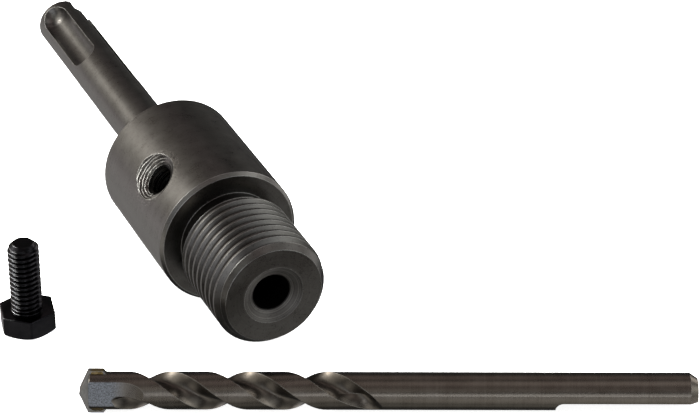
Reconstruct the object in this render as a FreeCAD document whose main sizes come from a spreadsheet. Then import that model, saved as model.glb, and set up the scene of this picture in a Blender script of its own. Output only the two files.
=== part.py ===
import FreeCAD, Part
import math
import os
import Sketcher

# Hole saw arbor for core bits with an M22 socket, with the pieces that belong to it laid out
# side by side on a flat surface: the arbor itself, the bolt that clamps the pilot drill,
# and the pilot drill with its brazed carbide plate.
# Frame: the origin is on the arbor's axis at the shoulder that the core bit seats against,
# +X points out of the threaded nose and +Z points up.

os.makedirs("parts", exist_ok=True)
doc = FreeCAD.newDocument("HoleSawArbor")

# Driving dimensions, in millimetres and degrees, a group for each piece

# Arbor, turned from one bar
arborSizes = {
    "shankDiameter": 10,  # drive shank
    "shankLength": 63.3,  # shank behind the body
    "shankEndChamfer": 0.6,
    "shankRootRadius": 1,  # fillet where the shank meets the body
    "bodyDiameter": 26.9,  # barrel that carries the clamp bolt
    "bodyLength": 30.6,
    "bodyRearChamfer": 0.7,
    "shoulderChamfer": 0.6,  # edge of the face that the core bit seats on
    "reliefDiameter": 18.8,  # thread relief beside the shoulder
    "reliefWidth": 2.4,
    "noseDiameter": 21.6,  # M22 x 2 thread, over its crests
    "noseLength": 21.4,
    "noseChamfer": 1.5,  # across
    "noseChamferLength": 1.9,  # along the axis
    "nosePitch": 2,
    "noseRootDiameter": 19.5,
    "noseRootWidth": 0.35,  # flat at the bottom of the thread's groove
    "threadAngle": 60,
    "threadStart": 1.4,  # groove begins in the relief, in front of the shoulder
    "threadStartAngle": 19.8,  # about the axis, from +Y towards +Z
}

# Pilot bore and clamp hole
holeSizes = {
    "boreDiameter": 7.1,  # pilot drill slides in here
    "boreDepth": 50,  # from the nose face to the end of the full bore
    "boreMouthDiameter": 11.4,  # countersink at the nose face
    "boreMouthAngle": 120,
    "drillPointAngle": 118,  # left by the drills that made the holes
    "clampHoleSetback": 12.1,  # hole's centre behind the shoulder
    "clampHoleAngle": 137.5,  # about the axis, from +Y towards +Z
    "clampDrillDiameter": 5,  # tapping size of an M6 thread
    "clampMouthDiameter": 11.2,  # countersink at the body's surface
}

# Slotted drive shank
shankSizes = {
    "keyingAngle": 128.4,  # first locking groove, about the axis from +Y towards +Z
    "lockGrooveRadius": 3.4,  # round-nosed cutter
    "lockGrooveFloor": 2.7,  # floor's distance from the axis
    "lockGrooveLength": 23.2,  # over both rounded ends
    "lockGrooveSetback": 1.5,  # land between the groove and the shank's end
    "grooveEdgeBreak": 0.25,
    "driveSlotWidth": 2.7,
    "driveSlotFloor": 3.5,  # floor's distance from the axis
    "driveSlotLength": 36,  # open at the shank's end
    "endFlatAngle": 31,  # relieved end of one drive slot, about the axis
    "endFlatDistance": 4,  # from the axis
    "endFlatLength": 4,
    "endFlatRunOut": 1.3,  # ramp back to full diameter
}

# Clamp bolt, M6 hexagon
boltSizes = {
    "threadDiameter": 5.8,  # over its crests
    "threadLength": 14,  # under the head
    "boltTipChamfer": 1,
    "hexAcrossFlats": 9.6,
    "hexHeight": 4,
    "hexChamferDiameter": 9.4,  # flat ring left on top of the head
    "hexChamferAngle": 30,
}

# Pilot drill
drillSizes = {
    "drillDiameter": 6.7,  # shank and lands
    "drillLength": 108.7,  # from the carbide point to the end
    "headChamfer": 0.2,  # front edge of the steel
    "drillEndChamfer": 1.4,  # along the axis
    "drillEndDiameter": 4.8,
    "fluteLead": 27.4,  # one turn, right-handed
    "fluteCore": 3.2,  # steel left between the two flutes
    "fluteRadius": 4.7,  # grinding wheel's section, along the drill
    "fluteStart": 9,  # where the flute comes to full depth
    "fluteLength": 38.8,  # at full depth
    "flutePhase": 6.8,  # where the flute's floor is square to the carbide
    "fluteLeadInHeight": 2.6,
    "fluteRunOutHeight": 5,
    "fluteLeadInAngle": 32,  # how fast the wheel comes in
    "fluteRunOutAngle": 20,  # how fast the wheel leaves
    "headFlatDistance": 2.53,  # flats beside the carbide, from the axis
    "headFlatLength": 7.2,  # up to where the wheel leaves it
    "headFlatRadius": 12,  # of the wheel
    "clampFlatDistance": 1.45,  # flat that the bolt presses on, from the axis
    "clampFlatLength": 25,  # from the drill's end
    "clampFlatRadius": 1.3,  # run-out of the flat
}

# Carbide plate
plateSizes = {
    "plateWidth": 7.6,  # cutting diameter
    "plateThickness": 1.8,
    "plateSideEnd": 4.3,  # end of the full width, from the point
    "plateRearWidth": 5,
    "plateRearEnd": 5.4,  # from the point
    "pointAngle": 130,
    "reliefAngle": 12,
}

# Layout on the surface
layoutSizes = {
    "boltX": -6.85,  # bolt's axis, stood on its head
    "boltY": -37.4,
    "boltTurn": 49,
    "drillTipX": 21.9,  # carbide point
    "drillTipY": -37.46,
    "drillHeading": 66.17,  # from +X towards +Y
    "drillRoll": 72,  # turn about its own axis
}

# Driving dimensions go into one sheet, a group at a time
sizes = doc.addObject("Spreadsheet::Sheet", "Sizes")
row = 1
for group in (arborSizes, holeSizes, shankSizes, boltSizes, drillSizes, plateSizes, layoutSizes):
    for name, value in group.items():
        sizes.set(f"A{row}", name)
        sizes.set(f"B{row}", str(value))
        sizes.setAlias(f"B{row}", name)
        row += 1
    row += 1

doc.recompute()


def plane(body, role):
    """Origin plane or axis of a body, by its role."""
    for feature in body.Origin.OriginFeatures:
        if feature.Role == role:
            return feature


def newSketch(body, name, role, offset=None):
    """Sketch on an origin plane, moved by expressions given per offset property."""
    sketch = body.newObject("Sketcher::SketchObject", name)
    sketch.AttachmentSupport = (plane(body, role), [""])
    sketch.MapMode = "FlatFace"
    for key, expression in (offset or {}).items():
        sketch.setExpression("AttachmentOffset." + key, expression)
    doc.recompute()
    return sketch


def turned(angle):
    """Offset that turns a sketch on the XZ plane about X, so that its y axis points at angle."""
    return {
        "Rotation.Axis.x": "1",
        "Rotation.Axis.y": "0",
        "Rotation.Axis.z": "0",
        "Rotation.Angle": f"({angle} - 90) * 1 deg",
    }


def valueOf(sketch, expression):
    """What an expression comes to with the present sizes."""
    result = sketch.evalExpression(expression)
    return float(getattr(result, "Value", result))


def pointOf(sketch, x, y):
    """Point of the sketch's plane given by two expressions."""
    return FreeCAD.Vector(valueOf(sketch, x), valueOf(sketch, y), 0)


def holdSize(sketch, kind, items, name, expression):
    """Dimension of the sketch that follows an expression."""
    index = sketch.addConstraint(Sketcher.Constraint(kind, *items, valueOf(sketch, expression)))
    sketch.renameConstraint(index, name)
    sketch.setExpression("Constraints." + name, expression)


def fixPoint(sketch, geometry, end, x, y, name):
    """Hold a point of the sketch at two expressions, measured from the sketch's origin."""
    holdSize(sketch, "DistanceX", (-1, 1, geometry, end), name + "x", x)
    holdSize(sketch, "DistanceY", (-1, 1, geometry, end), name + "y", y)


def joinEnds(sketch, pairs):
    """Close a loop: each pair names a curve's end and the end of the curve that it meets."""
    for one, end, other, otherEnd in pairs:
        sketch.addConstraint(Sketcher.Constraint("Coincident", one, end, other, otherEnd))


def outline(sketch, points):
    """Closed outline of straight lines through points given as pairs of expressions."""
    count = len(points)
    corners = [pointOf(sketch, x, y) for x, y in points]
    for k in range(count):
        sketch.addGeometry(Part.LineSegment(corners[k], corners[(k + 1) % count]), False)
    joinEnds(sketch, [(k, 2, (k + 1) % count, 1) for k in range(count)])
    for k, (x, y) in enumerate(points):
        fixPoint(sketch, k, 1, x, y, f"p{k}")
    doc.recompute()


def revolve(body, kind, name, sketch, axis):
    """Full turn of a sketch, as a Revolution or a Groove."""
    feature = body.newObject("PartDesign::" + kind, name)
    feature.Profile = sketch
    feature.ReferenceAxis = axis
    feature.Angle = 360
    doc.recompute()
    return feature


def cut(body, name, sketch, reverse=False, both=False, depth=None):
    """Pocket that goes right through, or to a depth given as an expression."""
    feature = body.newObject("PartDesign::Pocket", name)
    feature.Profile = sketch
    feature.Reversed = reverse
    if both:
        feature.SideType = "Symmetric"
    if depth:
        feature.Type = "Length"
        feature.setExpression("Length", depth)
    else:
        feature.Type = "ThroughAll"
    doc.recompute()
    return feature


def repeatAbout(body, name, features, axis, count=2):
    """Copies of features spread evenly about an axis of the body."""
    pattern = body.newObject("PartDesign::PolarPattern", name)
    pattern.Originals = features
    pattern.Axis = (plane(body, axis), [""])
    pattern.Angle = 360
    pattern.Occurrences = count
    body.Tip = pattern
    doc.recompute()
    return pattern


def edgeAt(shape, x, radius):
    """Name of the circular edge about X that lies at x with this radius."""
    for number, edge in enumerate(shape.Edges, 1):
        curve = edge.Curve
        if isinstance(curve, Part.Circle):
            if abs(curve.Center.x - x) < 1e-3 and abs(curve.Radius - radius) < 1e-3:
                return f"Edge{number}"
    raise ValueError(f"no edge at x {x} with radius {radius}")


def makeArborBody():
    """Shank, body and threaded nose, turned and milled from one bar."""
    body = doc.addObject("PartDesign::Body", "ArborBody")
    body.Label = "arbor_body"

    # Outside: half section from the shank's end to the nose face
    section = newSketch(body, "TurnedSection", "XZ_Plane")
    shankEnd = "-(Sizes.bodyLength + Sizes.shankLength)"
    outline(section, [
        (shankEnd, "0"),
        (shankEnd, "Sizes.shankDiameter / 2 - Sizes.shankEndChamfer"),
        (f"{shankEnd} + Sizes.shankEndChamfer", "Sizes.shankDiameter / 2"),
        ("-Sizes.bodyLength", "Sizes.shankDiameter / 2"),
        ("-Sizes.bodyLength", "Sizes.bodyDiameter / 2 - Sizes.bodyRearChamfer"),
        ("-Sizes.bodyLength + Sizes.bodyRearChamfer", "Sizes.bodyDiameter / 2"),
        ("-Sizes.shoulderChamfer", "Sizes.bodyDiameter / 2"),
        ("0", "Sizes.bodyDiameter / 2 - Sizes.shoulderChamfer"),
        ("0", "Sizes.reliefDiameter / 2"),
        ("Sizes.reliefWidth", "Sizes.reliefDiameter / 2"),
        ("Sizes.reliefWidth + (Sizes.noseDiameter - Sizes.reliefDiameter) / 2",
         "Sizes.noseDiameter / 2"),
        ("Sizes.noseLength - Sizes.noseChamferLength", "Sizes.noseDiameter / 2"),
        ("Sizes.noseLength", "Sizes.noseDiameter / 2 - Sizes.noseChamfer"),
        ("Sizes.noseLength", "0"),
    ])
    turnedBar = revolve(body, "Revolution", "TurnedBar", section, (plane(body, "X_Axis"), [""]))

    root = body.newObject("PartDesign::Fillet", "ShankRoot")
    shankRadius = sizes.shankDiameter / 2
    root.Base = (turnedBar, [edgeAt(turnedBar.Shape, -sizes.bodyLength, shankRadius)])
    root.setExpression("Radius", "Sizes.shankRootRadius")
    doc.recompute()

    # Thread on the nose: the groove starts in the relief and leaves through the nose chamfer
    groove = newSketch(body, "NoseThreadSection", "XZ_Plane",
                       {"Base.x": "Sizes.threadStart", **turned("Sizes.threadStartAngle")})
    crest = "Sizes.noseDiameter / 2 + 0.2"
    root = "Sizes.noseRootDiameter / 2"
    halfRoot = "Sizes.noseRootWidth / 2"
    halfCrest = f"({halfRoot} + ({crest} - {root}) * tan(Sizes.threadAngle / 2 * 1 deg))"
    outline(groove, [
        (f"-{halfCrest}", crest),
        (f"-{halfRoot}", root),
        (halfRoot, root),
        (halfCrest, crest),
    ])
    helicalCut(body, "NoseThread", groove, "Sizes.nosePitch", "Sizes.noseLength", "0", False)

    # Pilot bore: countersunk mouth, full bore and the drill point at its end
    bore = newSketch(body, "BoreSection", "XZ_Plane")
    boreEnd = "Sizes.noseLength - Sizes.boreDepth"
    mouthDepth = "(Sizes.boreMouthDiameter - Sizes.boreDiameter) / 2 / tan(Sizes.boreMouthAngle / 2 * 1 deg)"
    outline(bore, [
        ("Sizes.noseLength", "0"),
        ("Sizes.noseLength", "Sizes.boreMouthDiameter / 2"),
        (f"Sizes.noseLength - {mouthDepth}", "Sizes.boreDiameter / 2"),
        (boreEnd, "Sizes.boreDiameter / 2"),
        (f"{boreEnd} - Sizes.boreDiameter / 2 / tan(Sizes.drillPointAngle / 2 * 1 deg)", "0"),
    ])
    revolve(body, "Groove", "PilotBore", bore, (plane(body, "X_Axis"), [""]))

    # Clamp hole: from the bore out through one wall, with a countersink at the surface.
    # The countersink is cut as far past the surface as it is deep.
    hole = newSketch(body, "ClampHoleSection", "XZ_Plane", turned("Sizes.clampHoleAngle"))
    surface = "Sizes.bodyDiameter / 2"
    mouth = ("(Sizes.clampMouthDiameter - Sizes.clampDrillDiameter) / 2"
             " / tan(Sizes.drillPointAngle / 2 * 1 deg)")
    centre = "-Sizes.clampHoleSetback"
    outline(hole, [
        (centre, "0"),
        (f"{centre} + Sizes.clampDrillDiameter / 2", "0"),
        (f"{centre} + Sizes.clampDrillDiameter / 2", f"{surface} - {mouth}"),
        (f"{centre} + Sizes.clampMouthDiameter - Sizes.clampDrillDiameter / 2", f"{surface} + {mouth}"),
        (centre, f"{surface} + {mouth}"),
    ])
    revolve(body, "Groove", "ClampHole", hole, (hole, ["Edge5"]))

    # Locking grooves: closed at both ends, left by a round-nosed cutter, on opposite sides
    grooves = []
    for name, extra in (("LockGroove", "0"), ("LockGrooveEdge", "Sizes.grooveEdgeBreak")):
        stadium = newSketch(body, name + "Section", "XZ_Plane", turned("Sizes.keyingAngle"))
        radius = f"(Sizes.lockGrooveRadius + {extra})"
        height = f"(Sizes.lockGrooveFloor + Sizes.lockGrooveRadius + 2 * {extra})"
        # Half width that the cutter leaves on the shank's surface, at the rounded ends
        reach = (f"sqrt(Sizes.lockGrooveRadius ^ 2"
                 f" - (Sizes.lockGrooveFloor + Sizes.lockGrooveRadius - Sizes.shankDiameter / 2) ^ 2)")
        rear = f"({shankEnd} + Sizes.lockGrooveSetback + {reach})"
        front = f"({shankEnd} + Sizes.lockGrooveSetback + Sizes.lockGrooveLength - {reach})"
        capsule(stadium, rear, front, height, radius)
        grooves.append(revolve(body, "Groove", name, stadium, (stadium, ["Edge1"])))
    repeatAbout(body, "LockGrooves", grooves, "X_Axis")

    # Drive slots: open at the shank's end, square in section, a quarter turn from the grooves
    slot = newSketch(body, "DriveSlotPlan", "XY_Plane", {
        "Rotation.Axis.x": "1",
        "Rotation.Axis.y": "0",
        "Rotation.Axis.z": "0",
        "Rotation.Angle": "(Sizes.keyingAngle - 180) * 1 deg",
        "Base.y": "Sizes.driveSlotFloor * cos((Sizes.keyingAngle - 90) * 1 deg)",
        "Base.z": "Sizes.driveSlotFloor * sin((Sizes.keyingAngle - 90) * 1 deg)",
    })
    slotPlan(slot, shankEnd)
    driveSlot = cut(body, "DriveSlot", slot, reverse=True)
    repeatAbout(body, "DriveSlots", [driveSlot], "X_Axis")

    # The end of the shank is relieved on one side, with a short ramp back to full diameter
    relief = newSketch(body, "EndFlatSection", "XZ_Plane", turned("Sizes.endFlatAngle"))
    outline(relief, [
        (f"{shankEnd} - 1", "Sizes.endFlatDistance"),
        (f"{shankEnd} + Sizes.endFlatLength", "Sizes.endFlatDistance"),
        (f"{shankEnd} + Sizes.endFlatLength + Sizes.endFlatRunOut", "Sizes.shankDiameter / 2"),
        (f"{shankEnd} + Sizes.endFlatLength + Sizes.endFlatRunOut", "Sizes.shankDiameter / 2 + 1"),
        (f"{shankEnd} - 1", "Sizes.shankDiameter / 2 + 1"),
    ])
    body.Tip = cut(body, "EndFlat", relief, both=True)
    return body


def arcOf(centre, radius, start, stop):
    """Arc about a centre, with its angles in quarter turns."""
    circle = Part.Circle(centre, FreeCAD.Vector(0, 0, 1), radius)
    return Part.ArcOfCircle(circle, start * math.pi / 2, stop * math.pi / 2)


def capsule(sketch, rear, front, height, radius):
    """Half of a round-ended shape on its own axis line, which is the sketch's first edge."""
    size = valueOf(sketch, radius)
    start = pointOf(sketch, rear, height)
    stop = pointOf(sketch, front, height)
    along = FreeCAD.Vector(size, 0, 0)
    down = FreeCAD.Vector(0, -size, 0)
    axis = sketch.addGeometry(Part.LineSegment(start - along, stop + along), False)
    right = sketch.addGeometry(arcOf(stop, size, 3, 4), False)
    floor = sketch.addGeometry(Part.LineSegment(start + down, stop + down), False)
    left = sketch.addGeometry(arcOf(start, size, 2, 3), False)
    joinEnds(sketch, ((axis, 2, right, 2), (right, 1, floor, 2), (floor, 1, left, 2), (left, 1, axis, 1)))
    sketch.addConstraint(Sketcher.Constraint("Horizontal", axis))
    sketch.addConstraint(Sketcher.Constraint("Horizontal", floor))
    for centre in (left, right):
        sketch.addConstraint(Sketcher.Constraint("PointOnObject", centre, 3, axis))
    sketch.addConstraint(Sketcher.Constraint("Vertical", left, 3, floor, 1))
    sketch.addConstraint(Sketcher.Constraint("Vertical", right, 3, floor, 2))
    fixPoint(sketch, left, 3, rear, height, "rear")
    holdSize(sketch, "DistanceX", (-1, 1, right, 3), "front", front)
    holdSize(sketch, "Radius", (left,), "radius", radius)
    doc.recompute()


def slotPlan(sketch, shankEnd):
    """Drive slot seen from outside: straight sides and a half-round closed end."""
    half = sizes.driveSlotWidth / 2
    opening = pointOf(sketch, f"{shankEnd} - 1", "0")
    centre = pointOf(sketch, f"{shankEnd} + Sizes.driveSlotLength - Sizes.driveSlotWidth / 2", "0")
    up = FreeCAD.Vector(0, half, 0)
    mouth = sketch.addGeometry(Part.LineSegment(opening + up, opening - up), False)
    lower = sketch.addGeometry(Part.LineSegment(opening - up, centre - up), False)
    arc = sketch.addGeometry(arcOf(centre, half, -1, 1), False)
    upper = sketch.addGeometry(Part.LineSegment(centre + up, opening + up), False)
    joinEnds(sketch, ((mouth, 2, lower, 1), (lower, 2, arc, 1), (arc, 2, upper, 1), (upper, 2, mouth, 1)))
    sketch.addConstraint(Sketcher.Constraint("PointOnObject", arc, 3, -1))
    sketch.addConstraint(Sketcher.Constraint("Vertical", mouth))
    sketch.addConstraint(Sketcher.Constraint("Horizontal", lower))
    sketch.addConstraint(Sketcher.Constraint("Horizontal", upper))
    sketch.addConstraint(Sketcher.Constraint("Vertical", arc, 1, arc, 3))
    holdSize(sketch, "DistanceX", (-1, 1, mouth, 1), "mouth", f"{shankEnd} - 1")
    holdSize(sketch, "DistanceX", (-1, 1, arc, 3), "stop",
             f"{shankEnd} + Sizes.driveSlotLength - Sizes.driveSlotWidth / 2")
    holdSize(sketch, "Radius", (arc,), "radius", "Sizes.driveSlotWidth / 2")
    doc.recompute()


def makeClampBolt():
    """Hexagon bolt, stood on its head with the thread pointing up."""
    body = doc.addObject("PartDesign::Body", "ClampBolt")
    body.Label = "clamp_bolt"

    hexagon = newSketch(body, "Hexagon", "XY_Plane")
    corner = "Sizes.hexAcrossFlats / sqrt(3)"
    outline(hexagon, [(f"{corner} * cos({60 * k} deg)", f"{corner} * sin({60 * k} deg)") for k in range(6)])
    head = body.newObject("PartDesign::Pad", "Head")
    head.Profile = hexagon
    head.setExpression("Length", "Sizes.hexHeight")
    doc.recompute()

    # The six corners of the head's outer face are turned off at a shallow angle
    corners = newSketch(body, "HeadChamfer", "XZ_Plane")
    outline(corners, [
        ("Sizes.hexChamferDiameter / 2", "0"),
        ("Sizes.hexAcrossFlats", "0"),
        ("Sizes.hexAcrossFlats",
         "(Sizes.hexAcrossFlats - Sizes.hexChamferDiameter / 2) * tan(Sizes.hexChamferAngle * 1 deg)"),
    ])
    revolve(body, "Groove", "HeadCorners", corners, (plane(body, "Z_Axis"), [""]))

    stem = newSketch(body, "StemSection", "XZ_Plane")
    boltEnd = "Sizes.hexHeight + Sizes.threadLength"
    outline(stem, [
        ("0", "Sizes.hexHeight / 2"),
        ("Sizes.threadDiameter / 2", "Sizes.hexHeight / 2"),
        ("Sizes.threadDiameter / 2", f"{boltEnd} - Sizes.boltTipChamfer"),
        ("Sizes.threadDiameter / 2 - Sizes.boltTipChamfer", boltEnd),
        ("0", boltEnd),
    ])
    body.Tip = revolve(body, "Revolution", "Stem", stem, (plane(body, "Z_Axis"), [""]))

    body.setExpression("Placement", "placement(vector(Sizes.boltX; Sizes.boltY; -Sizes.bodyDiameter / 2);"
                                    " rotation(Sizes.boltTurn; 0; 0))")
    return body


# The carbide point is ground as a roof: its slope follows from the point and relief angles
pointSlope = "(1 / tan(Sizes.pointAngle / 2 * 1 deg))"
roofSlope = f"sqrt({pointSlope} ^ 2 + tan(Sizes.reliefAngle * 1 deg) ^ 2)"
roofTurn = f"atan(tan(Sizes.reliefAngle * 1 deg) / {pointSlope})"
shoulder = f"(Sizes.plateWidth / 2 * {pointSlope})"

# The drill lies on the lower corner of the carbide and on its shank, so it leans a little
plateReach = ("(Sizes.plateWidth / 2 * sin(Sizes.drillRoll * 1 deg)"
              " + Sizes.plateThickness / 2 * cos(Sizes.drillRoll * 1 deg))")
restingSpan = "(Sizes.drillLength - Sizes.clampFlatLength - Sizes.plateSideEnd)"
restTilt = f"atan(({plateReach} - Sizes.drillDiameter / 2) / {restingSpan})"
drillPlacement = (f"placement(vector(Sizes.drillTipX; Sizes.drillTipY;"
                  f" -Sizes.bodyDiameter / 2 + {plateReach} + Sizes.plateSideEnd * sin({restTilt}));"
                  f" rotation(Sizes.drillHeading; {restTilt}; Sizes.drillRoll))")


def makePilotDrill():
    """Steel body of the masonry drill. Its X axis runs from the carbide point to the end."""
    body = doc.addObject("PartDesign::Body", "PilotDrill")
    body.Label = "pilot_drill"

    section = newSketch(body, "DrillSection", "XZ_Plane")
    outline(section, [
        (shoulder, "0"),
        (shoulder, "Sizes.drillDiameter / 2 - Sizes.headChamfer"),
        (f"{shoulder} + Sizes.headChamfer", "Sizes.drillDiameter / 2"),
        ("Sizes.drillLength - Sizes.drillEndChamfer", "Sizes.drillDiameter / 2"),
        ("Sizes.drillLength", "Sizes.drillEndDiameter / 2"),
        ("Sizes.drillLength", "0"),
    ])
    revolve(body, "Revolution", "DrillBar", section, (plane(body, "X_Axis"), [""]))

    # Two flutes: the wheel comes in beside the head, follows the lead and leaves gradually
    fluteEnd = "(Sizes.fluteStart + Sizes.fluteLength)"
    features = [
        fluteSweep(body, "Flute", "Sizes.fluteStart", "Sizes.fluteLength", "0", False),
        fluteSweep(body, "FluteLeadIn", "Sizes.fluteStart",
                   "Sizes.fluteLeadInHeight", "Sizes.fluteLeadInAngle", True),
        fluteSweep(body, "FluteRunOut", fluteEnd,
                   "Sizes.fluteRunOutHeight", "Sizes.fluteRunOutAngle", False),
    ]
    repeatAbout(body, "Flutes", features, "X_Axis")

    # Flats either side of the carbide, square to the plate
    flat = newSketch(body, "HeadFlatSection", "XZ_Plane")
    flatProfile(flat, "0", "(Sizes.headFlatLength + Sizes.headFlatRadius)", 1,
                "Sizes.headFlatDistance", "Sizes.headFlatRadius", 1)
    headFlat = cut(body, "HeadFlat", flat, both=True)
    repeatAbout(body, "HeadFlats", [headFlat], "X_Axis")

    # Slot that the carbide plate is brazed into, the plate's own outline
    seat = newSketch(body, "PlateSeatOutline", "XY_Plane")
    plateOutline(seat)
    slot = cut(body, "PlateSeat", seat, both=True, depth="Sizes.plateThickness")

    # Flat near the end, in line with the carbide's edge, that the clamp bolt presses on
    clamp = newSketch(body, "ClampFlatSection", "XY_Plane")
    flatProfile(clamp, "Sizes.drillLength", "Sizes.drillLength - Sizes.clampFlatLength", -1,
                "-Sizes.clampFlatDistance", "Sizes.clampFlatRadius", -1)
    body.Tip = cut(body, "ClampFlat", clamp, both=True)

    body.setExpression("Placement", drillPlacement)
    return body


def fluteSweep(body, name, x, height, angle, backwards):
    """Helical cut whose section is the grinding wheel's arc, in a plane through the axis."""
    offset = {
        "Base.x": x,
        "Rotation.Axis.x": "1",
        "Rotation.Axis.y": "0",
        "Rotation.Axis.z": "0",
        "Rotation.Angle": f"360 deg * ({x} - Sizes.flutePhase) / Sizes.fluteLead",
    }
    sketch = newSketch(body, name + "Section", "XZ_Plane", offset)
    half = FreeCAD.Vector(sizes.fluteRadius, 0, 0)
    centre = FreeCAD.Vector(0, sizes.fluteCore / 2 + sizes.fluteRadius, 0)
    arc = sketch.addGeometry(arcOf(centre, sizes.fluteRadius, 2, 4), False)
    chord = sketch.addGeometry(Part.LineSegment(centre - half, centre + half), False)
    joinEnds(sketch, ((arc, 1, chord, 1), (arc, 2, chord, 2)))
    sketch.addConstraint(Sketcher.Constraint("Horizontal", chord))
    sketch.addConstraint(Sketcher.Constraint("PointOnObject", arc, 3, -2))
    sketch.addConstraint(Sketcher.Constraint("PointOnObject", arc, 3, chord))
    holdSize(sketch, "Radius", (arc,), "radius", "Sizes.fluteRadius")
    holdSize(sketch, "DistanceY", (-1, 1, arc, 3), "height", "Sizes.fluteCore / 2 + Sizes.fluteRadius")
    doc.recompute()
    return helicalCut(body, name, sketch, "Sizes.fluteLead", height, angle, backwards)


def helicalCut(body, name, sketch, pitch, height, angle, backwards):
    """Right-handed helical groove about X. The angle makes it widen or narrow like a cone."""
    sweep = body.newObject("PartDesign::SubtractiveHelix", name)
    sweep.Profile = sketch
    sweep.ReferenceAxis = (plane(body, "X_Axis"), [""])
    sweep.Mode = 0
    sweep.setExpression("Pitch", pitch)
    sweep.setExpression("Height", height)
    sweep.setExpression("Angle", angle)
    sweep.Reversed = backwards
    doc.recompute()
    return sweep


def flatProfile(sketch, openEnd, stop, towards, distance, radius, side):
    """Side view of a milled flat: open at one end, with a hollow quarter round at the other.

    towards is +1 where the flat runs from its open end towards +X, and side is +1 where it
    faces the sketch's +y.
    """
    outer = f"({distance}) + {side} * (Sizes.drillDiameter + {radius})"
    size = valueOf(sketch, radius)
    centre = pointOf(sketch, f"{stop} - {towards} * {radius}", f"({distance}) + {side} * {radius}")
    flatEnd = centre - FreeCAD.Vector(0, side * size, 0)
    riseStart = centre + FreeCAD.Vector(towards * size, 0, 0)
    flatOpen = pointOf(sketch, f"{openEnd} - {towards}", distance)
    outerOpen = pointOf(sketch, f"{openEnd} - {towards}", outer)
    outerStop = pointOf(sketch, stop, outer)
    flat = sketch.addGeometry(Part.LineSegment(flatOpen, flatEnd), False)
    rise = sketch.addGeometry(Part.LineSegment(riseStart, outerStop), False)
    back = sketch.addGeometry(Part.LineSegment(outerStop, outerOpen), False)
    mouth = sketch.addGeometry(Part.LineSegment(outerOpen, flatOpen), False)
    # The arc runs anticlockwise, from the flat to the rise or the other way round
    quarter = {(1, 1): 3, (1, -1): 0, (-1, 1): 2, (-1, -1): 1}[towards, side]
    arc = sketch.addGeometry(arcOf(centre, size, quarter, quarter + 1), False)
    low, high = (1, 2) if towards * side > 0 else (2, 1)
    joinEnds(sketch, ((flat, 2, arc, low), (arc, high, rise, 1), (rise, 2, back, 1),
                      (back, 2, mouth, 1), (mouth, 2, flat, 1)))
    for kind, line in (("Horizontal", flat), ("Vertical", rise), ("Horizontal", back), ("Vertical", mouth)):
        sketch.addConstraint(Sketcher.Constraint(kind, line))
    sketch.addConstraint(Sketcher.Constraint("Vertical", arc, low, arc, 3))
    sketch.addConstraint(Sketcher.Constraint("Horizontal", arc, high, arc, 3))
    fixPoint(sketch, flat, 1, f"{openEnd} - {towards}", distance, "open")
    holdSize(sketch, "DistanceX", (-1, 1, rise, 1), "stop", stop)
    holdSize(sketch, "DistanceY", (-1, 1, back, 1), "outer", outer)
    holdSize(sketch, "Radius", (arc,), "radius", radius)
    doc.recompute()


def plateOutline(sketch):
    """Plate seen square to its broad face: full width, then drawn in towards the rear."""
    outline(sketch, [
        ("0", "-Sizes.plateWidth / 2"),
        ("Sizes.plateSideEnd", "-Sizes.plateWidth / 2"),
        ("Sizes.plateRearEnd", "-Sizes.plateRearWidth / 2"),
        ("Sizes.plateRearEnd", "Sizes.plateRearWidth / 2"),
        ("Sizes.plateSideEnd", "Sizes.plateWidth / 2"),
        ("0", "Sizes.plateWidth / 2"),
    ])


def makeCarbideTip():
    """Cutting plate, brazed across the drill's head, in the drill's own frame."""
    body = doc.addObject("PartDesign::Body", "CarbideTip")
    body.Label = "carbide_tip"

    blankOutline = newSketch(body, "PlateOutline", "XY_Plane")
    plateOutline(blankOutline)
    blank = body.newObject("PartDesign::Pad", "PlateBlank")
    blank.Profile = blankOutline
    blank.SideType = "Symmetric"
    blank.setExpression("Length", "Sizes.plateThickness")
    doc.recompute()

    # Both ground faces of the point meet in the chisel edge, which the cut follows
    grind = newSketch(body, "PointGrind", "XY_Plane", {
        "Rotation.Axis.x": "1",
        "Rotation.Axis.y": "0",
        "Rotation.Axis.z": "0",
        "Rotation.Angle": roofTurn,
    })
    outline(grind, [
        ("0", "0"),
        (f"Sizes.plateWidth * {roofSlope}", "Sizes.plateWidth"),
        ("-1", "Sizes.plateWidth"),
        ("-1", "-Sizes.plateWidth"),
        (f"Sizes.plateWidth * {roofSlope}", "-Sizes.plateWidth"),
    ])
    body.Tip = cut(body, "GroundPoint", grind, both=True)

    body.setExpression("Placement", drillPlacement)
    return body


bodies = [makeArborBody(), makeClampBolt(), makePilotDrill(), makeCarbideTip()]
doc.recompute()

for item in doc.Objects:
    if "Invalid" in item.State or "Error" in item.State:
        raise RuntimeError(f"{item.Name} failed: {item.State}")

for body in bodies:
    if body.Shape.isNull() or not body.Shape.isValid():
        raise RuntimeError(f"{body.Label} has no valid shape")
    print(body.Label, "volume", round(body.Shape.Volume, 1), "mm3, solids", len(body.Shape.Solids))

for body in bodies:
    body.Shape.exportStep(f"parts/{body.Label}.step")
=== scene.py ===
import bpy
import bmesh
from math import asin, cos, pi, radians, sin, sqrt, tan
from mathutils import Euler, Matrix, Vector


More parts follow.
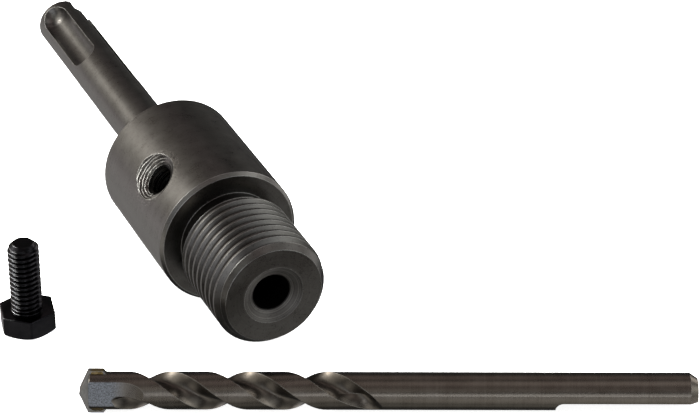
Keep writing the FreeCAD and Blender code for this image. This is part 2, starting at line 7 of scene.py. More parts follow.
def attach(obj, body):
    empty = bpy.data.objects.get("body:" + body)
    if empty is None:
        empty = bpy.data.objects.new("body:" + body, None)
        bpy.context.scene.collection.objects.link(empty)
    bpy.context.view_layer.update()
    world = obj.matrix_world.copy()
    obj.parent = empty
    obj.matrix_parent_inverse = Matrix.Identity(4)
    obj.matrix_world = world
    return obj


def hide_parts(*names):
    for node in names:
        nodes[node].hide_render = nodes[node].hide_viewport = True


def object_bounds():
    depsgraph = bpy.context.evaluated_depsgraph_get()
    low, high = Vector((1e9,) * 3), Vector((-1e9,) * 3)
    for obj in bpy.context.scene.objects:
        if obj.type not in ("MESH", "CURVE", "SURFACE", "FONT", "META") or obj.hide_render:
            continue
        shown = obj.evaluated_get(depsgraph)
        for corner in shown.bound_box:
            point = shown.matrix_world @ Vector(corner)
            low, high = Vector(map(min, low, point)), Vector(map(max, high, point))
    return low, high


# Hole saw arbor with its clamp bolt and pilot drill, laid out on a pale table.
# The frame is in metres: origin on the arbor's axis at the shoulder, +X out of the nose.
# In the pieces' dictionaries lengths are in millimetres and angles in degrees.
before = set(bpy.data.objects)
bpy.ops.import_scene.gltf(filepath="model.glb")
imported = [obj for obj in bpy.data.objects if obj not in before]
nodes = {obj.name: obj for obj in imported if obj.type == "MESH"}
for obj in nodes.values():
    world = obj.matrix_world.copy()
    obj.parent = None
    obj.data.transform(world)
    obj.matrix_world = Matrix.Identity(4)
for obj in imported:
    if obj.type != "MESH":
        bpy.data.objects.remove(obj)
frameBox = [list(corner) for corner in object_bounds()]
mm = 0.001
tableZ = frameBox[0][2]
print("frame loaded:", ", ".join(sorted(nodes)))


# Mesh helpers

def addObject(name, data):
    obj = bpy.data.objects.new(name, data)
    bpy.context.scene.collection.objects.link(obj)
    return obj


def meshFrom(name, verts, faces):
    mesh = bpy.data.meshes.new(name)
    mesh.from_pydata(verts, [], faces)
    mesh.update()
    return addObject(name, mesh)


def standAlong(obj, origin, direction):
    # Turns local Z into the direction, with local X kept as close to world X as it goes
    z = Vector(direction).normalized()
    x = Vector((1, 0, 0)) if abs(z.x) < 0.9 else Vector((0, 1, 0))
    x = (x - z * x.dot(z)).normalized()
    axes = Matrix((x, z.cross(x), z)).transposed().to_4x4()
    obj.data.transform(Matrix.Translation(Vector(origin)) @ axes)


def threadCutter(name, size, origin, direction):
    # Helical V groove, closed at both ends, that is taken out of a solid. Its wide side stands
    # in the open space, its narrow side is the root, and its flanks are 60 degrees apart.
    wide, root, crest, pitch = (size[key] for key in
                                ("openRadius", "rootRadius", "crestRadius", "pitch"))
    crestWidth = pitch * 7 / 8
    lean = tan(radians(30)) * (1 if root > wide else -1)
    halfAt = lambda radius: crestWidth / 2 - (radius - crest) * lean
    section = [(wide, -halfAt(wide)), (wide, halfAt(wide)),
               (root, halfAt(root)), (root, -halfAt(root))]
    if root < wide:
        section.reverse()
    length = size["stop"] - size["start"]
    steps = round(length / pitch * size["segments"])
    verts, faces = [], []
    for k in range(steps + 1):
        along = size["start"] + length * k / steps
        turn = 2 * pi * (along - size["phase"]) / pitch
        for radius, offset in section:
            verts.append((radius * cos(turn), radius * sin(turn), along + offset))
        if k:
            for j in range(4):
                low, high = 4 * (k - 1) + j, 4 * (k - 1) + (j + 1) % 4
                faces.append((low, high, high + 4, low + 4))
    faces.append((3, 2, 1, 0))
    faces.append(tuple(4 * steps + j for j in range(4)))
    cutter = meshFrom(name, verts, faces)
    standAlong(cutter, origin, direction)
    return cutter


def pieceFromNode(name, node):
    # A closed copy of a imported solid, in millimetres while it is being cut
    weld = 0.0005
    obj = addObject(name, nodes[node].data.copy())
    obj.data.materials.clear()
    obj.data.transform(Matrix.Scale(1 / mm, 4))
    shape = bmesh.new()
    shape.from_mesh(obj.data)
    bmesh.ops.remove_doubles(shape, verts=shape.verts, dist=weld)
    shape.to_mesh(obj.data)
    shape.free()
    for layer in list(obj.data.attributes):
        if layer.name in ("custom_normal", "sharp_edge", "sharp_face"):
            obj.data.attributes.remove(layer)
    return obj


def cutWith(obj, cutters):
    for cutter in cutters:
        tool = obj.modifiers.new("Cut", "BOOLEAN")
        tool.operation = "DIFFERENCE"
        tool.solver = "MANIFOLD"
        tool.object = cutter
    graph = bpy.context.evaluated_depsgraph_get()
    made = bpy.data.meshes.new_from_object(obj.evaluated_get(graph))
    obj.modifiers.clear()
    obj.data = made
    for cutter in cutters:
        bpy.data.objects.remove(cutter)


def finishMesh(obj, rounds=(), sharpAngle=25):
    # Smooth shading with sharp edges kept. Facets of the named cylinders get the true normals
    # of the cylinder: each is (point on axis, axis direction, radius). Ends in metres.
    onCylinder = 0.02
    alongNormal = 0.98
    mesh = obj.data
    mesh.polygons.foreach_set("use_smooth", [True] * len(mesh.polygons))
    mesh.set_sharp_from_angle(angle=radians(sharpAngle))
    normals = [Vector((0, 0, 0))] * len(mesh.loops)
    for point, direction, radius in rounds:
        point, direction = Vector(point), Vector(direction).normalized()
        away = []
        for vert in mesh.vertices:
            arm = vert.co - point
            away.append(arm - direction * arm.dot(direction))
        for polygon in mesh.polygons:
            arms = [away[v] for v in polygon.vertices]
            if all(abs(arm.length - radius) < onCylinder for arm in arms):
                facing = sum(arms, Vector()).normalized().dot(polygon.normal)
                if abs(facing) > alongNormal:
                    for loop, arm in zip(polygon.loop_indices, arms):
                        normals[loop] = arm.normalized() * (1 if facing > 0 else -1)
    mesh.normals_split_custom_set([tuple(n) for n in normals])
    mesh.transform(Matrix.Scale(mm, 4))


# Node helpers: a link is given as (node, output name), anything else is a set value

def isLink(value):
    return isinstance(value, tuple) and isinstance(value[0], bpy.types.Node)


def feed(tree, source, socket):
    tree.links.new(source[0].outputs[source[1]], socket)


def addNode(tree, kind, inputs=None, **settings):
    node = tree.nodes.new(kind)
    for key, value in settings.items():
        setattr(node, key, value)
    for key, value in (inputs or {}).items():
        if isLink(value):
            feed(tree, value, node.inputs[key])
        else:
            node.inputs[key].default_value = value
    return node


def rangeOf(tree, source, low, high, toLow, toHigh, smooth=False):
    return (addNode(tree, "ShaderNodeMapRange", {
        "Value": source, "From Min": low, "From Max": high, "To Min": toLow, "To Max": toHigh},
        interpolation_type="SMOOTHSTEP" if smooth else "LINEAR"), "Result")


def mathOf(tree, operation, *values):
    return (addNode(tree, "ShaderNodeMath", dict(enumerate(values)), operation=operation), "Value")


def vectorOf(tree, operation, *values):
    node = addNode(tree, "ShaderNodeVectorMath", dict(enumerate(values)), operation=operation)
    return (node, "Value" if operation in ("LENGTH", "DOT_PRODUCT") else "Vector")


def combineOf(tree, **parts):
    return (addNode(tree, "ShaderNodeCombineXYZ", parts), "Vector")


def times(tree, color, amount):
    return (addNode(tree, "ShaderNodeVectorMath", {0: color, "Scale": amount},
                    operation="SCALE"), "Vector")


def product(tree, *parts):
    total = parts[0]
    for part in parts[1:]:
        total = mathOf(tree, "MULTIPLY", total, part)
    return total


def shareOf(tree, first, second, share):
    # A share of the first value and the rest of the second
    return mathOf(tree, "ADD", mathOf(tree, "MULTIPLY", first, share),
                  mathOf(tree, "MULTIPLY", second, 1 - share))


def noiseOf(tree, vector, scale, detail, roughness):
    return (addNode(tree, "ShaderNodeTexNoise", {
        "Vector": vector, "Scale": scale, "Detail": detail, "Roughness": roughness}), "Fac")


def speckOf(tree, vector, scale, detail, roughness, spread, ends):
    # Noise whose spread is drawn out between two end values
    return rangeOf(tree, noiseOf(tree, vector, scale, detail, roughness), *spread, *ends)


def blendOf(tree, factor, dark, light):
    # Colours between two ends, each a colour or a link. The sockets are the node's colour ones.
    dark, light = (end if isLink(end) else (*end, 1) for end in (dark, light))
    return (addNode(tree, "ShaderNodeMix", {"Factor": factor, 6: dark, 7: light},
                    data_type="RGBA"), 2)


def bumpOf(tree, height, depth, **normal):
    return (addNode(tree, "ShaderNodeBump", {
        "Strength": 1, "Distance": depth * mm, "Height": height, **normal}), "Normal")


def newMaterial(name):
    material = bpy.data.materials.new(name)
    material.use_nodes = True
    return material, material.node_tree, material.node_tree.nodes["Principled BSDF"]


def feedMetal(tree, shader, color, rough, normal):
    feed(tree, color, shader.inputs["Base Color"])
    feed(tree, rough, shader.inputs["Roughness"])
    feed(tree, normal, shader.inputs["Normal"])
    shader.inputs["Metallic"].default_value = 1


# Metal finishes. Noise scales are per millimetre, depths and edge widths are in millimetres.

# Bright is the edge colour, and wear says how far edges go to it: partly worn bare metal, partly
# painted edge highlight.
finishes = {
    "arborSteel": {"dark": (0.112, 0.103, 0.094), "light": (0.160, 0.151, 0.141),
                   "rough": (0.25, 0.36), "mottle": 0.35, "rings": 3.5, "ringDepth": 0.0016,
                   "grain": 9, "grainDepth": 0.0015, "edge": 0.14, "bright": (0.50, 0.49, 0.47),
                   "wear": 0.8},
    "blackOxide": {"dark": (0.007, 0.007, 0.008), "light": (0.017, 0.016, 0.018),
                   "rough": (0.14, 0.24), "mottle": 0.5, "rings": 4, "ringDepth": 0.003,
                   "grain": 8, "grainDepth": 0.001, "edge": 0.22, "bright": (0.030, 0.029, 0.031),
                   "wear": 0.8},
    "drillSteel": {"dark": (0.104, 0.088, 0.073), "light": (0.160, 0.141, 0.120),
                   "rough": (0.23, 0.33), "mottle": 0.3, "rings": 2.5, "ringDepth": 0.002,
                   "grain": 10, "grainDepth": 0.003, "edge": 0.16, "bright": (0.36, 0.34, 0.31),
                   "wear": 0.6},
    "carbide": {"dark": (0.17, 0.16, 0.145), "light": (0.27, 0.255, 0.235),
                "rough": (0.40, 0.52), "mottle": 0.8, "rings": 5, "ringDepth": 0.003,
                "grain": 12, "grainDepth": 0.008, "edge": 0.06, "bright": (0.55, 0.53, 0.50),
                "wear": 0.6},
    "braze": {"dark": (0.14, 0.095, 0.035), "light": (0.34, 0.26, 0.13),
              "rough": (0.30, 0.55), "flow": 1.6, "lumps": 5, "lumpDepth": 0.05},
}

# What all the finishes share: how the noises mix and which part of their spread is used
texture = {
    "slant": 0.012,
    "cloudInTint": 0.6,
    "cloudInWear": 0.5,
    "tintSpread": (0.32, 0.68),
    "wearSpread": (0.3, 0.7),
    "edgeSpread": (0.999, 0.95),
}


def ownCoords(tree, at, turn):
    # Millimetres along the piece's own axes, its X being the axis it was turned about
    coords = (addNode(tree, "ShaderNodeTexCoord"), "Object")
    scaled = vectorOf(tree, "MULTIPLY", coords, (1 / mm,) * 3)
    if not any(at) and not any(turn):
        return scaled
    moved = vectorOf(tree, "SUBTRACT", scaled, tuple(at))
    turned = addNode(tree, "ShaderNodeVectorRotate",
                     {"Vector": moved, "Rotation": tuple(radians(a) for a in turn)},
                     rotation_type="EULER_XYZ", invert=True)
    return (turned, "Vector")


def zoneMasks(tree, at, zones):
    # 1 inside a zone and 0 outside. A border is (measure, where it starts, where it is full).
    return {name: product(tree, *[rangeOf(tree, at[measure], start, full, 0, 1, *smooth)
                                  for measure, start, full, *smooth in zone["borders"]])
            for name, zone in zones.items()}


def shadeOf(tree, mask, shade):
    return rangeOf(tree, mask, 0, 1, 1, shade)


def zoneShade(tree, masks, zones):
    return product(tree, *[shadeOf(tree, masks[name], zones[name]["shade"])
                           for name in zones if "shade" in zones[name]])


def zoneRough(tree, masks, zones, rough):
    for name in zones:
        if "rougher" in zones[name]:
            more = rangeOf(tree, masks[name], 0, 1, 0, zones[name]["rougher"])
            rough = mathOf(tree, "ADD", rough, more)
    return rough


def metal(name, look, at=(0, 0, 0), turn=(0, 0, 0), dress=None):
    # Turned steel: fine rings about its own X axis, cloudy tint, grain in the surface, and edges
    # in a brighter colour, partly worn bare metal and partly painted edge highlight. Dress, if
    # given, changes colour and roughness by the place on the piece.
    material, tree, shader = newMaterial(name)
    own = ownCoords(tree, at, turn)
    split = addNode(tree, "ShaderNodeSeparateXYZ", {"Vector": own})
    flatArm = combineOf(tree, Y=(split, "Y"), Z=(split, "Z"))
    reach = vectorOf(tree, "LENGTH", flatArm)
    slant = vectorOf(tree, "MULTIPLY", flatArm, (texture["slant"],) * 3)
    ringVector = vectorOf(tree, "ADD", combineOf(tree, X=(split, "X"), Y=reach), slant)

    cloud = noiseOf(tree, own, look["mottle"], 5, 0.6)
    rings = noiseOf(tree, ringVector, look["rings"], 4, 0.65)
    grain = noiseOf(tree, own, look["grain"], 2, 0.5)
    tint = shareOf(tree, cloud, rings, texture["cloudInTint"])
    tint = rangeOf(tree, tint, *texture["tintSpread"], 0, 1)
    wear = shareOf(tree, cloud, grain, texture["cloudInWear"])
    rough = rangeOf(tree, wear, *texture["wearSpread"], *look["rough"])
    # Partly real edge wear, partly painted edge highlight: where the rounded normal leaves the true
    # one, the colour goes to the bright one
    soft = (addNode(tree, "ShaderNodeBevel", {"Radius": look["edge"] * mm}, samples=6), "Normal")
    facet = (addNode(tree, "ShaderNodeNewGeometry"), "Normal")
    edgeWearAndHighlight = rangeOf(tree, vectorOf(tree, "DOT_PRODUCT", soft, facet),
                    *texture["edgeSpread"], 0, look["wear"])
    color = blendOf(tree, tint, look["dark"], look["light"])
    color = blendOf(tree, edgeWearAndHighlight, color, look["bright"])
    if dress:
        places = {"own": own, "along": (split, "X"), "across": (split, "Y"),
                  "high": (split, "Z"), "reach": reach, "edgeWearAndHighlight": edgeWearAndHighlight}
        color, rough = dress(tree, places, color, rough)
    lined = bumpOf(tree, rings, look["ringDepth"], Normal=soft)
    grained = bumpOf(tree, grain, look["grainDepth"], Normal=lined)
    feedMetal(tree, shader, color, rough, grained)
    return material


# Arbor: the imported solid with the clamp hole's thread and the steps its countersink was left with.
# Zones are measured along the axis, out from it (reach), and off the clamp hole's axis.
# A speckle is (scale, detail, roughness, spread, shades).

arbor = {
    "clampThread": {"crestRadius": 2.5, "rootRadius": 3.03, "openRadius": 2.42, "pitch": 1,
                    "start": 1.6, "stop": 14, "phase": 0, "segments": 48},
    "clampX": -12.1,
    "clampAngle": 137.5,
    "coneRadius": 5.6,
    "coneTop": 13.45,
    "coneHalfAngle": 59,
    "firstRing": 2.95,
    "ringPitch": 0.52,
    "ringCount": 5,
    "ringDepth": 0.17,
    "ringSide": 235,
    "ringWaves": ((0.07, 3, 2.3), (0.05, 7, 4.1), (0.03, 13, 1)),
    "ringSteep": 0.3,
    "ringSegments": 180,
    "ringClear": 0.03,
    "rounds": (13.45, 5, 9.4),
    "zones": {
        # Painted shade: the clamp hole's walls darkened
        "clampHoleShade": {"shade": 0.07, "borders": [("off", 3.2, 3.0), ("above", 0, 1)]},
        "countersink": {"borders": [("off", 3.1, 3.3), ("off", 5.8, 5.6), ("above", 0, 1)]},
        # Painted shade: the pilot bore darkened
        "bore": {"shade": 0.1, "borders": [("reach", 3.8, 3.6), ("along", -29.5, -29)]},
        "mouth": {"shade": 0.85, "rougher": 0.22,
                  "borders": [("reach", 6.1, 5.5), ("along", 15, 17)]},
        # Painted shade: the undercut between the shoulder and the nose thread darkened
        "reliefShade": {"shade": 0.3, "borders": [("along", 0, 0.25), ("along", 3.4, 2.6)]},
        # Painted highlight: the band on the shoulder's outer chamfer brightened
        "rimHighlight": {"shade": 1.15, "borders": [("along", -0.7, -0.55), ("along", 0, -0.08),
                                           ("reach", 12.7, 12.85)]},
        # Painted shade: the flat shoulder face darkened
        "seatShade": {"shade": 0.75, "borders": [("along", -0.06, -0.02), ("along", 0.06, 0.02),
                                            ("reach", 12.8, 12.6)]},
        "nose": {"shade": 0.84, "borders": [("along", 3.2, 3.6), ("reach", 9, 9.3)]},
        # Painted shade: the flat nose face darkened, away from its edges
        "noseFaceShade": {"shade": 0.8, "borders": [("along", 21.3, 21.38), ("edgeWearAndHighlight", 0.3, 0)]},
    },
    "mouthRings": (4.5, 2, 0.6, (0.36, 0.64), (0.62, 1.45)),
    # Random darker and brighter specks in the countersink; the brighter ones are painted sparkle
    "countersinkSparkle": (4, 3, 0.6, (0.42, 0.62), (0.75, 1.6)),
    "pits": (3.2, 2, 0.55, (0.31, 0.39), (0.6, 1)),
}


def clampAxis(size):
    angle = radians(size["clampAngle"])
    return (0, cos(angle), sin(angle))


def chatterCutter(size, origin, direction):
    # Uneven rings that the countersink was left with, deepest on one side
    slope = 1 / tan(radians(size["coneHalfAngle"]))
    coneAt = lambda r: size["coneTop"] - (size["coneRadius"] - r) * slope
    first, pitch, count = size["firstRing"], size["ringPitch"], size["ringCount"]
    clear, segments = size["ringClear"], size["ringSegments"]
    top = size["coneTop"] + 3
    last = first + pitch * count
    verts, faces = [], []
    for k in range(segments):
        turn = 2 * pi * k / segments
        side = 0.5 + 0.5 * cos(turn - radians(size["ringSide"]))
        depth = size["ringDepth"] * (0.18 + 0.82 * side ** 1.5)
        profile = []
        for j in range(count):
            wobble = sum(much * sin(waves * turn + shift * j)
                         for much, waves, shift in size["ringWaves"])
            r = first + pitch * (j + wobble * (0.4 + 1.2 * side))
            dip = depth * (1 + 0.35 * sin(5 * turn + 1.7 * j))
            steep = size["ringSteep"] * pitch
            profile.append((r, coneAt(r) + clear))
            profile.append((r + steep, coneAt(r) + steep * slope - dip))
        profile.append((last, coneAt(last) + clear))
        profile.append((last, top))
        verts += [(r * cos(turn), r * sin(turn), along) for r, along in profile]
    inner = len(profile)
    verts += [(0, 0, coneAt(first) + clear), (0, 0, top)]
    low, high = len(verts) - 2, len(verts) - 1
    for k in range(segments):
        here, there = k * inner, (k + 1) % segments * inner
        faces.append((low, there, here))
        for j in range(inner - 1):
            faces.append((here + j, there + j, there + j + 1, here + j + 1))
        faces.append((high, here + inner - 1, there + inner - 1))
    cutter = meshFrom("chatter", verts, faces)
    standAlong(cutter, origin, direction)
    return cutter


def dressArbor(tree, at, color, rough):
    # Painted shade darkens the clamp hole's walls, the pilot bore, the undercut before the nose
    # thread, and the flat shoulder and nose faces. Painted highlight brightens the band on the
    # shoulder's outer chamfer. Painted sparkle brightens random specks in the countersink. The bore
    # mouth is ringed and duller, and small pits are spread all over.
    arm = vectorOf(tree, "SUBTRACT", at["own"], (arbor["clampX"], 0, 0))
    axis = clampAxis(arbor)
    at["off"] = vectorOf(tree, "LENGTH", vectorOf(tree, "CROSS_PRODUCT", arm, axis))
    at["above"] = vectorOf(tree, "DOT_PRODUCT", arm, axis)
    masks = zoneMasks(tree, at, arbor["zones"])
    mouthRings = speckOf(tree, combineOf(tree, X=at["reach"]), *arbor["mouthRings"])
    countersinkSparkle = speckOf(tree, at["own"], *arbor["countersinkSparkle"])
    pits = speckOf(tree, at["own"], *arbor["pits"])
    shade = product(tree, pits, shadeOf(tree, masks["mouth"], mouthRings),
                    shadeOf(tree, masks["countersink"], countersinkSparkle),
                    zoneShade(tree, masks, arbor["zones"]))
    return times(tree, color, shade), zoneRough(tree, masks, arbor["zones"], rough)


def makeArbor(size):
    centre = (size["clampX"], 0, 0)
    body = pieceFromNode("arbor", "arbor_body")
    cutWith(body, [
        chatterCutter(size, centre, clampAxis(size)),
        threadCutter("clampGroove", size["clampThread"], centre, clampAxis(size)),
    ])
    finishMesh(body, [((0, 0, 0), (1, 0, 0), radius) for radius in size["rounds"]])
    body.data.materials.clear()
    body.data.materials.append(metal("arborSteel", finishes["arborSteel"], dress=dressArbor))
    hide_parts("arbor_body")
    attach(body, "root")
    print("arbor:", len(body.data.polygons), "faces")


# Clamp bolt: rounded head edges and the thread cut up to the head

bolt = {
    "thread": {"crestRadius": 2.9, "rootRadius": 2.33, "openRadius": 2.96, "pitch": 1,
               "start": 4.6, "stop": 19.5, "phase": 0.3, "segments": 64},
    "x": -6.85,
    "y": -37.4,
    "headHeight": 4,
    "headOutside": 4.5,
    "edgeRadius": 0.35,
    # Painted highlight: its colour on the edges of one side, the direction of that side, and how
    # wide it spreads
    "sideHighlight": (0.62, 0.63, 0.65),
    "sideHighlightFacing": (0, -0.956, -0.292),
    "sideHighlightSpread": (0.86, 0.98),
}


def roundHead(obj, size):
    # Rounds the bearing face's outer edges and the six upright ones
    near = 0.01
    top = tableZ / mm + size["headHeight"]
    shape = bmesh.new()
    shape.from_mesh(obj.data)
    bmesh.ops.dissolve_limit(shape, angle_limit=radians(1), verts=shape.verts, edges=shape.edges)
    chosen = []
    for edge in shape.edges:
        a, b = (v.co for v in edge.verts)
        out = min(sqrt((v.x - size["x"]) ** 2 + (v.y - size["y"]) ** 2) for v in (a, b))
        level = abs(a.z - top) < near and abs(b.z - top) < near
        upright = abs(a.x - b.x) < near and abs(a.y - b.y) < near
        if out > size["headOutside"] and (level or upright):
            chosen.append(edge)
    bmesh.ops.bevel(shape, geom=chosen, offset=size["edgeRadius"], segments=4, profile=0.5,
                    affect="EDGES", clamp_overlap=True)
    bmesh.ops.triangulate(shape, faces=shape.faces)
    shape.to_mesh(obj.data)
    shape.free()
    print("bolt head: rounded", len(chosen), "edges")


def dressBolt(tree, at, color, rough):
    # Painted highlight: edges on the side where the key light's highlights fall get a bright colour
    outward = vectorOf(tree, "NORMALIZE", vectorOf(tree, "MULTIPLY", at["own"], (0, 1, 1)))
    side = vectorOf(tree, "DOT_PRODUCT", outward, bolt["sideHighlightFacing"])
    onSide = rangeOf(tree, side, *bolt["sideHighlightSpread"], 0, 1, True)
    return blendOf(tree, product(tree, onSide, at["edgeWearAndHighlight"]), color, bolt["sideHighlight"]), rough


def makeBolt(size):
    foot = (size["x"], size["y"], tableZ / mm)
    up = (0, 0, 1)
    body = pieceFromNode("bolt", "clamp_bolt")
    roundHead(body, size)
    cutWith(body, [threadCutter("boltGroove", size["thread"], foot, up)])
    finishMesh(body, [(foot, up, size["thread"]["crestRadius"])])
    body.data.materials.clear()
    body.data.materials.append(
        metal("blackOxide", finishes["blackOxide"], foot, (0, -90, 0), dressBolt))
    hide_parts("clamp_bolt")
    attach(body, "root")
    print("bolt:", len(body.data.polygons), "faces")


# Pilot drill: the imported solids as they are, with their finishes, and beads of braze.
# Own axes: X from the carbide point to the end, Y along the plate's width, Z square to it.

drill = {
    "tip": (21.9, -37.46, -9.53),
    "turn": (72, 0.391, 66.17),
    "radius": 3.35,
    "plateHalf": 0.9,
    "beadStart": 2.2,
    "beadStop": 4.35,
    "beadOut": {1: 0.42, -1: 0.26},
    "beadUp": {1: 0.08, -1: 1.45},
    "beadBulge": 0.12,
    "beadSunk": 0.12,
    "beadRings": 17,
    "beadAcross": 7,
    "ripples": ((0.16, 7.3, 2.1, 1.3), (0.09, 17, 0, 1)),
    "blastDark": (0.105, 0.109, 0.118),
    "blastLight": (0.27, 0.285, 0.31),
    "blastSpecks": (4, 2, 0.7, (0.36, 0.64), (0, 1)),
    "zones": {
        "blasted": {"rougher": 0.2, "borders": [("level", 2.4, 2.55), ("along", 8.7, 5.3, True)]},
        # Painted shade: the flute hollows darkened
        "fluteShade": {"shade": 0.74, "rougher": 0.03,
                   "borders": [("reach", 3.2, 2.7), ("along", 53, 52), ("level", 2.55, 2.4)]},
    },
    "plateZones": {
        "smear": {"borders": [("across", 3.68, 3.76), ("along", 2.1, 2.4)]},
    },
}


def dressNode(node, material):
    for slot in nodes[node].material_slots:
        slot.material = material


def beadRing(size, side, face, t):
    # One cross-section of a bead, from its start (t = 0) to its stop (t = 1)
    radius, sunk = size["radius"], size["beadSunk"]
    corner = asin(size["plateHalf"] / radius)
    along = size["beadStart"] + (size["beadStop"] - size["beadStart"]) * t
    swell = sqrt(max(0.0, 1 - (2 * t - 1) ** 4))
    ripple = sum((much * sin(rate * along + bySide * side + byFace * face)
                  for much, rate, bySide, byFace in size["ripples"]), 1)
    out = size["beadOut"][side] * (0.4 + 0.6 * swell * ripple)
    up = size["beadUp"][side] * (0.4 + 0.6 * swell * (2 - ripple))
    root = Vector((radius * cos(corner), size["plateHalf"]))
    onPlate = root + Vector((out, 0))
    turn = corner + up / radius
    onSteel = Vector((radius * cos(turn), radius * sin(turn)))
    bulge = Vector((0.5, 0.86)) * size["beadBulge"] * swell * ripple
    middle = (onPlate + onSteel) / 2 + bulge
    ring = [root + Vector((-sunk, -sunk)), onPlate + Vector((0, -sunk))]
    for j in range(size["beadAcross"]):
        s = j / (size["beadAcross"] - 1)
        ring.append(onPlate * (1 - s) ** 2 + middle * 2 * s * (1 - s) + onSteel * s ** 2)
    ring.append(onSteel * (1 - sunk / radius))
    return [(along, side * p.x, face * p.y) for p in ring]


def makeBraze(size, place):
    # A hollow fillet in each corner between the plate's broad faces and the steel
    rings = size["beadRings"]
    count = size["beadAcross"] + 3
    verts, faces = [], []
    for side in (1, -1):
        for face in (1, -1):
            first = len(verts)
            for k in range(rings):
                verts += beadRing(size, side, face, k / (rings - 1))
            order = list(range(count)) if side * face < 0 else list(range(count))[::-1]
            for k in range(rings - 1):
                for j in range(count):
                    a, b = order[j], order[(j + 1) % count]
                    low, high = first + k * count, first + (k + 1) * count
                    faces.append((low + a, low + b, high + b, high + a))
            faces.append(tuple(first + j for j in reversed(order)))
            faces.append(tuple(first + (rings - 1) * count + j for j in order))
    beads = meshFrom("braze", verts, faces)
    beads.data.transform(place)
    shape = bmesh.new()
    shape.from_mesh(beads.data)
    bmesh.ops.recalc_face_normals(shape, faces=shape.faces)
    shape.to_mesh(beads.data)
    shape.free()
    finishMesh(beads, sharpAngle=50)
    return beads


def brazeColor(tree, own):
    look = finishes["braze"]
    flow = speckOf(tree, own, look["flow"], 4, 0.6, (0.35, 0.65), (0, 1))
    return blendOf(tree, flow, look["dark"], look["light"])


def brazeMaterial(size):
    look = finishes["braze"]
    material, tree, shader = newMaterial("braze")
    own = ownCoords(tree, size["tip"], size["turn"])
    lumps = noiseOf(tree, own, look["lumps"], 3, 0.5)
    rough = rangeOf(tree, lumps, *texture["wearSpread"], *look["rough"])
    feedMetal(tree, shader, brazeColor(tree, own), rough, bumpOf(tree, lumps, look["lumpDepth"]))
    return material


def dressDrill(tree, at, color, rough):
    # The flats beside the plate are sand-blasted, with a silvery speckle. The flute hollows are
    #     darker, as painted shade, and a little rougher.
    at["level"] = mathOf(tree, "ABSOLUTE", at["high"])
    masks = zoneMasks(tree, at, drill["zones"])
    specks = speckOf(tree, at["own"], *drill["blastSpecks"])
    silver = blendOf(tree, specks, drill["blastDark"], drill["blastLight"])
    color = times(tree, color, zoneShade(tree, masks, drill["zones"]))
    rough = zoneRough(tree, masks, drill["zones"], rough)
    return blendOf(tree, masks["blasted"], color, silver), rough


def dressPlate(tree, at, color, rough):
    # Braze smeared over the plate's upper edge
    masks = zoneMasks(tree, at, drill["plateZones"])
    return blendOf(tree, masks["smear"], color, brazeColor(tree, at["own"])), rough


def makeDrill(size):
    tip, turn = size["tip"], size["turn"]
    axes = Euler([radians(a) for a in turn], "XYZ").to_matrix().to_4x4()
    dressNode("pilot_drill", metal("drillSteel", finishes["drillSteel"], tip, turn, dressDrill))
    dressNode("carbide_tip", metal("carbide", finishes["carbide"], tip, turn, dressPlate))
    beads = makeBraze(size, Matrix.Translation(Vector(tip)) @ axes)
    beads.data.materials.append(brazeMaterial(size))
    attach(beads, "root")
    print("drill: finishes set, braze", len(beads.data.polygons), "faces")


# Stage: floor, studio and camera. The lamp's size and height, and the clip, are in metres.

stage = {
    "cameraAt": (409.2, -159.2, 275.2),
    "heading": 65.82,
    "pitch": 31.48,
    "lens": 144.16,
    "clip": (0.01, 20),
    "floorRadius": 4000,
    "floorGrey": (0.9, 0.9, 0.9, 1),
    "floorRough": 0.9,
    "floorGlow": 0.86,
    "lampPower": 120,
    "lampSize": 2.4,
    "lampHeight": 1.6,
}

# The room's own light, and how far from its middle a light is full and has faded, in degrees
studio = {"base": 0.07, "soft": (2, 24), "core": (1, 9)}

# Lights of the studio: direction they come from, strength and tint
studioLights = {
    "soft": [
        (-0.525, -0.629, 0.573, 3.26, (0.99, 1.00, 0.99)),
        (0.068, 0.564, -0.823, 1.92, (1.00, 1.00, 1.00)),
        (-0.349, 0.834, 0.427, 2.63, (1.00, 0.98, 0.95)),
        (0.892, -0.149, -0.427, 0.95, (0.99, 1.00, 0.98)),
        (0.434, 0.757, 0.490, 1.52, (0.97, 1.00, 1.00)),
        (-0.095, -0.730, 0.677, 1.50, (1.00, 1.00, 0.94)),
        (0.036, 0.993, -0.115, 1.33, (0.99, 1.00, 1.00)),
        (0.656, 0.723, 0.219, 1.04, (0.94, 1.00, 0.99)),
        (0.437, -0.822, -0.365, 1.01, (1.00, 1.00, 0.95)),
        (0.637, 0.595, -0.490, 0.85, (0.98, 1.00, 0.98)),
        (-0.754, -0.584, 0.302, 0.64, (1.00, 0.98, 0.87)),
        (0.784, -0.595, 0.177, 0.92, (0.85, 0.91, 1.00)),
        (0.005, -0.971, 0.240, 0.90, (1.00, 0.98, 0.93)),
        (-0.695, -0.706, -0.135, 0.53, (1.00, 0.94, 0.98)),
        (-0.766, -0.498, -0.406, 0.51, (1.00, 0.99, 0.97)),
        (0.817, 0.429, 0.385, 0.78, (0.89, 0.95, 1.00)),
        (0.502, -0.016, -0.865, 0.44, (0.97, 1.00, 0.96)),
        (0.559, -0.556, 0.615, 0.63, (0.95, 1.00, 0.98)),
        (0.228, 0.297, 0.927, 0.60, (1.00, 1.00, 0.99)),
        (0.956, -0.295, 0.010, 0.45, (0.94, 0.96, 1.00)),
        (-0.976, -0.090, 0.198, 0.22, (1.00, 0.86, 0.82)),
        (0.144, 0.000, 0.990, 0.37, (1.00, 0.82, 0.82)),
        (-0.552, 0.228, 0.802, 0.36, (1.00, 0.82, 0.82)),
        (-0.860, -0.008, -0.510, 0.33, (1.00, 0.95, 0.92)),
        (-0.842, -0.268, 0.469, 0.31, (1.00, 0.93, 0.82)),
        (0.679, -0.149, 0.719, 0.26, (1.00, 0.83, 0.82)),
    ],
    "core": [  # bright middles of the key light and of a front light, for the small hard highlights
        (-0.525, -0.629, 0.573, 15, (1, 0.99, 0.93)),
        (0.935, -0.302, 0.170, 5, (0.90, 0.95, 1)),
    ],
}


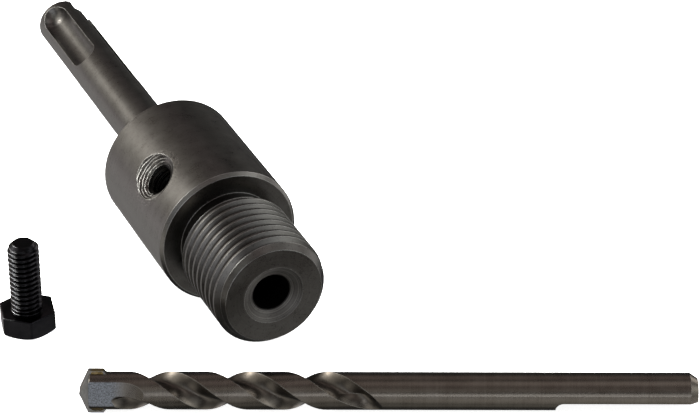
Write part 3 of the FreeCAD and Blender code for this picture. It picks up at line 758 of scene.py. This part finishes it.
def makeWorld():
    world = bpy.data.worlds.new("studio")
    world.use_nodes = True
    tree = world.node_tree
    tree.nodes.clear()
    direction = (addNode(tree, "ShaderNodeTexCoord"), "Generated")
    total = (studio["base"],) * 3
    for kind, lights in studioLights.items():
        full, faded = (cos(radians(angle)) for angle in studio[kind])
        for x, y, z, strength, tint in lights:
            facing = vectorOf(tree, "DOT_PRODUCT", direction, (x, y, z))
            amount = rangeOf(tree, facing, faded, full, 0, strength, True)
            total = vectorOf(tree, "ADD", total, times(tree, tint, amount))
    room = (addNode(tree, "ShaderNodeBackground", {"Color": total}), "Background")
    backdrop = (addNode(tree, "ShaderNodeBackground", {"Color": (1, 1, 1, 1)}), "Background")
    seen = (addNode(tree, "ShaderNodeLightPath"), "Is Camera Ray")
    mix = addNode(tree, "ShaderNodeMixShader", {0: seen, 1: room, 2: backdrop})
    addNode(tree, "ShaderNodeOutputWorld", {"Surface": (mix, "Shader")})
    bpy.context.scene.world = world


def makeCamera(size):
    data = bpy.data.cameras.new("camera")
    data.lens = size["lens"]
    data.sensor_width = 36
    data.clip_start, data.clip_end = size["clip"]
    camera = addObject("camera", data)
    camera.location = Vector(size["cameraAt"]) * mm
    camera.rotation_euler = (radians(90 - size["pitch"]), 0, radians(size["heading"]))
    bpy.context.scene.camera = camera


def makeFloor(size):
    mesh = bpy.data.meshes.new("floor")
    shape = bmesh.new()
    bmesh.ops.create_circle(shape, cap_ends=True, segments=96, radius=size["floorRadius"] * mm)
    shape.to_mesh(mesh)
    shape.free()
    floor = addObject("floor", mesh)
    floor.location.z = tableZ
    floor.visible_glossy = False
    material, tree, shader = newMaterial("floorWhite")
    shader.inputs["Base Color"].default_value = size["floorGrey"]
    shader.inputs["Roughness"].default_value = size["floorRough"]
    shader.inputs["Specular IOR Level"].default_value = 0
    shader.inputs["Emission Color"].default_value = (1, 1, 1, 1)
    shader.inputs["Emission Strength"].default_value = size["floorGlow"]
    mesh.materials.append(material)


def makeLamp(size):
    lamp = bpy.data.lights.new("overhead", "AREA")
    lamp.shape = "DISK"
    lamp.size = size["lampSize"]
    lamp.energy = size["lampPower"]
    overhead = addObject("overhead", lamp)
    overhead.location = (0, 0, size["lampHeight"])
    overhead.visible_glossy = False


makeArbor(arbor)
makeBolt(bolt)
makeDrill(drill)
makeCamera(stage)
makeFloor(stage)
makeLamp(stage)
makeWorld()
bpy.context.scene.view_settings.view_transform = "Standard"
print("stage: camera, floor, lamp, studio")
